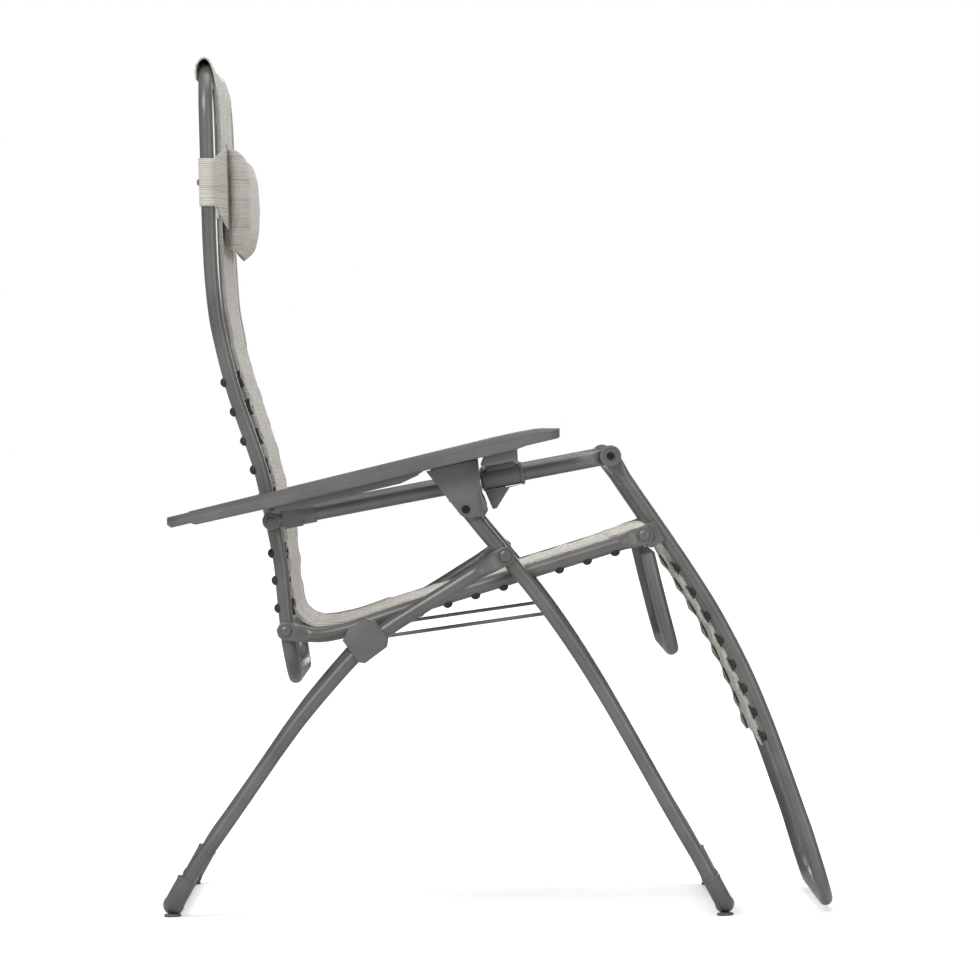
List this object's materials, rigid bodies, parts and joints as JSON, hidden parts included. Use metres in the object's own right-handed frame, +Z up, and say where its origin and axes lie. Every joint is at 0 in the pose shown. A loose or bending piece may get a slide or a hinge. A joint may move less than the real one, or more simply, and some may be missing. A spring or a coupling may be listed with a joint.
{
  "type": "zero gravity recliner",
  "caption": "Folding zero gravity lounge chair with crossed leg frames, a linked back, seat and footrest, sliding armrests with locks, and a mesh sling with a headrest pillow.",
  "frame": {"origin": "on the floor, at the middle of the overall length and width", "axes": "+X towards the footrest, +Y to the sitter's left, +Z up"},
  "size_m": [0.8956, 0.704, 1.1452],
  "materials": {
    "paint": "satin hammered grey",
    "plastic": "fine grained moulding",
    "steel": "satin zinc",
    "dark_steel": "blackened",
    "sling_fabric": "open ribbed weave",
    "pillow_fabric": "ribbed weave",
    "lacing_rubber": "matt"
  },
  "bodies": {
    "base": {"front_leg_frame": "paint", "front_shoe_left": "plastic", "front_shoe_right": "plastic", "stay_rod_left": "steel", "stay_rod_right": "steel", "leg_clip_left": "plastic", "leg_clip_right": "plastic", "leg_pivot_rivet_left": "steel", "leg_pivot_rivet_right": "steel"},
    "rear_legs": {"rear_leg_frame": "paint", "rear_shoe_left": "plastic", "rear_shoe_right": "plastic"},
    "seat": {"seat_tube_left": "paint", "seat_tube_right": "paint", "seat_sling": "sling_fabric", "back_pivot_rivet_left": "steel", "back_pivot_rivet_right": "steel"},
    "backrest": {"back_frame": "paint", "back_sling": "sling_fabric", "top_hood": "sling_fabric", "arm_rear_rivet_left": "steel", "arm_rear_rivet_right": "steel"},
    "headrest": {"headrest_pillow": "pillow_fabric", "headrest_strap_left": "pillow_fabric", "headrest_strap_right": "pillow_fabric"},
    "footrest": {"foot_frame": "paint", "foot_hoop": "paint", "foot_bracket_left": "paint", "foot_bracket_right": "paint", "foot_sling": "sling_fabric", "foot_pivot_rivet_left": "steel", "foot_pivot_rivet_right": "steel"},
    "arm_links": {"arm_tube_left": "paint", "arm_tube_right": "paint", "arm_front_cap_left": "plastic", "arm_front_cap_right": "plastic", "arm_front_bolt_left": "dark_steel", "arm_front_bolt_right": "dark_steel"},
    "armrests": {"armrest_left": "plastic", "armrest_right": "plastic", "leg_bracket_left": "plastic", "leg_bracket_right": "plastic", "rear_guide_left": "plastic", "rear_guide_right": "plastic", "clamp_sleeve_left": "plastic", "clamp_sleeve_right": "plastic", "grip_plate_left": "steel", "grip_plate_right": "steel", "bracket_screw_left": "dark_steel", "bracket_screw_right": "dark_steel"},
    "lock_lever_left": {"lock_lever_left": "plastic"},
    "lock_lever_right": {"lock_lever_right": "plastic"}
  },
  "joints": [
    {"name": "leg_fold", "type": "hinge", "parent": "base", "child": "rear_legs", "pos_m": [0.0102, 0, 0.4791], "axis": [0, -1, 0], "range_deg": [0, 66]},
    {"name": "seat_tilt", "type": "hinge", "parent": "base", "child": "seat", "pos_m": [-0.1729, 0, 0.389], "axis": [0, -1, 0], "range_deg": [0, 12.74]},
    {"name": "recline", "type": "hinge", "parent": "seat", "child": "backrest", "pos_m": [-0.2819, 0, 0.3781], "axis": [0, -1, 0], "range_deg": [0, 27]},
    {"name": "footrest_swing", "type": "hinge", "parent": "seat", "child": "footrest", "pos_m": [0.1949, 0, 0.5058], "axis": [0, -1, 0], "range_deg": [0, 42.52]},
    {"name": "arm_link_swing", "type": "hinge", "parent": "backrest", "child": "arm_links", "pos_m": [-0.3002, 0, 0.525], "axis": [0, -1, 0], "range_deg": [-31.26, 0]},
    {"name": "armrest_slide", "type": "slide", "parent": "arm_links", "child": "armrests", "axis": [0.9821, 0, 0.1882], "range_m": [0, 0.0952]},
    {"name": "lock_left", "type": "hinge", "parent": "armrests", "child": "lock_lever_left", "pos_m": [0.033, 0, 0.57153], "axis": [0, -1, 0], "range_deg": [0, 12]},
    {"name": "lock_right", "type": "hinge", "parent": "armrests", "child": "lock_lever_right", "pos_m": [0.033, 0, 0.57153], "axis": [0, -1, 0], "range_deg": [0, 12]},
    {"name": "headrest_height", "type": "slide", "parent": "backrest", "child": "headrest", "axis": [-0.0279, 0, 0.9996], "range_m": [-0.05, 0.025]}
  ],
  "couplings": [
    {"joint": "seat_tilt", "follows": "recline", "ratio": 0.47166},
    {"joint": "footrest_swing", "follows": "recline", "ratio": 1.5744},
    {"joint": "arm_link_swing", "follows": "recline", "ratio": -1.1574},
    {"joint": "armrest_slide", "follows": "recline", "m_per_rad": 0.2018}
  ]
}
